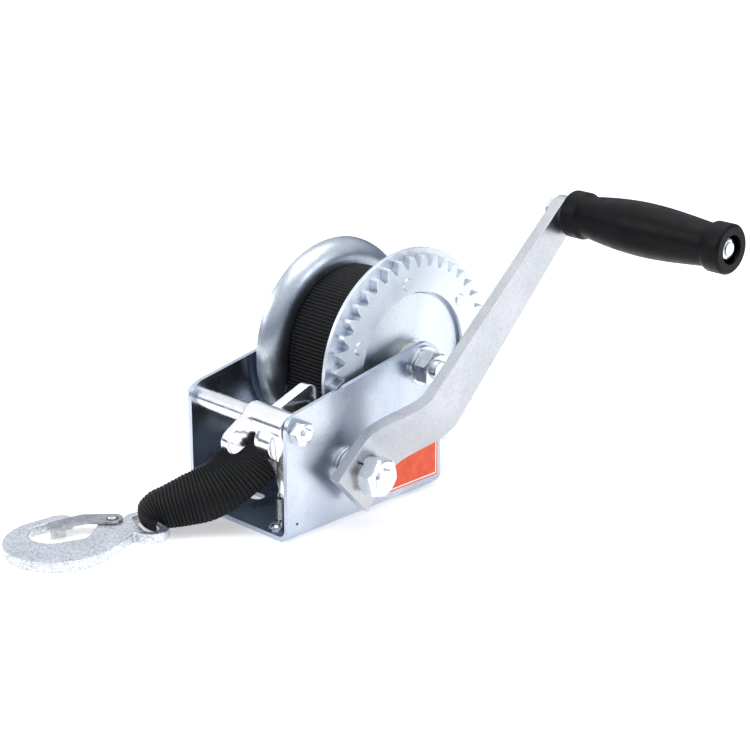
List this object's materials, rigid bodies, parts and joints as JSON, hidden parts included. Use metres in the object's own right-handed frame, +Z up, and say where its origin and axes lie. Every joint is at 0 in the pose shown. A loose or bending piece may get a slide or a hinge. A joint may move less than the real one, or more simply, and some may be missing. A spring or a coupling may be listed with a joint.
{
  "type": "boat trailer winch",
  "caption": "hand winch with a U-shaped steel frame, geared strap drum, joggled crank with a grip, two-way ratchet pawl and a black webbing strap ending in a flat snap hook",
  "frame": {"origin": "centre of the base's four-slot bolt pattern, on the underside of the base", "axes": "+X along the axles towards the crank, -Y towards the side the strap leaves, +Z up out of the base"},
  "size_m": [0.2839, 0.3426, 0.1865],
  "materials": {
    "zinc_plate": "bright zinc plate, faintly blue, semi-gloss",
    "zinc_hardware": "bright zinc-plated fasteners and shafts",
    "galvanised": "zinc over forged steel with a mottled spangle",
    "cast_zinc": "bright plated casting, polished by handling",
    "spring_steel": "plain spring steel, thinly plated",
    "webbing": "black ribbed polyester webbing",
    "grip_plastic": "black moulded plastic, fine satin grain",
    "bush_plastic": "off-white bearing plastic",
    "label_film": "plain red-orange film with a pale border"
  },
  "bodies": {
    "frame": {"frame_channel": "zinc_plate", "tie_bolt": "zinc_hardware", "tie_spacer": "zinc_hardware", "tie_nut": "zinc_hardware", "axle_bolt": "zinc_hardware", "axle_washers": "zinc_hardware", "axle_nut": "zinc_hardware", "drum_spacers": "zinc_hardware", "shaft_bushings": "zinc_hardware", "spring_anchor": "zinc_hardware", "pawl_spring": "spring_steel", "label": "label_film", "strap_tail": "webbing"},
    "drum": {"drum_tube": "zinc_plate", "left_flange": "zinc_plate", "right_flange": "zinc_plate", "drum_gear": "zinc_plate", "gear_rivets": "zinc_plate", "drum_bushes": "bush_plastic", "strap_pack": "webbing", "strap_anchor_bolt": "zinc_hardware", "strap_anchor_nut": "zinc_hardware"},
    "crank": {"pinion_shaft": "zinc_hardware", "pinion": "zinc_hardware", "shaft_clip": "spring_steel", "thrust_washer": "zinc_hardware", "shaft_spacer": "zinc_hardware", "crank_arm": "galvanised", "lock_washer": "spring_steel", "crank_nut": "zinc_hardware", "grip_bolt": "zinc_hardware", "grip_washer": "zinc_hardware", "grip_nut": "zinc_hardware"},
    "grip": {"grip": "grip_plastic"},
    "pawl": {"pawl": "cast_zinc"},
    "hook": {"hook": "galvanised", "latch_rivet": "spring_steel"},
    "latch": {"latch": "spring_steel"}
  },
  "joints": [
    {"name": "drum_spin", "type": "hinge", "parent": "frame", "child": "drum", "pos_m": [0, 0.051, 0.08313], "axis": [1, 0, 0], "continuous": true},
    {"name": "crank_spin", "type": "hinge", "parent": "frame", "child": "crank", "pos_m": [0, -0.0125, 0.0355], "axis": [1, 0, 0], "continuous": true},
    {"name": "grip_spin", "type": "hinge", "parent": "crank", "child": "grip", "pos_m": [0.085, 0.13519, 0.17036], "axis": [1, 0, 0], "continuous": true},
    {"name": "pawl_pivot", "type": "hinge", "parent": "frame", "child": "pawl", "pos_m": [0, -0.053, 0.068], "axis": [1, 0, 0], "range_deg": [-8, 8], "stiffness_Nm_per_rad": 1, "deforming": ["pawl_spring"]},
    {"name": "hook_swing", "type": "hinge", "parent": "frame", "child": "hook", "pos_m": [-0.033, -0.107, 0.003], "axis": [-0.9455, 0.3256, 0], "range_deg": [0, 45]},
    {"name": "latch_pivot", "type": "hinge", "parent": "hook", "child": "latch", "pos_m": [-0.04688, -0.11967, 0.0071], "axis": [0, 0, 1], "range_deg": [0, 20], "stiffness_Nm_per_rad": 0.02}
  ],
  "couplings": [
    {"joint": "crank_spin", "follows": "drum_spin", "ratio": -4}
  ]
}
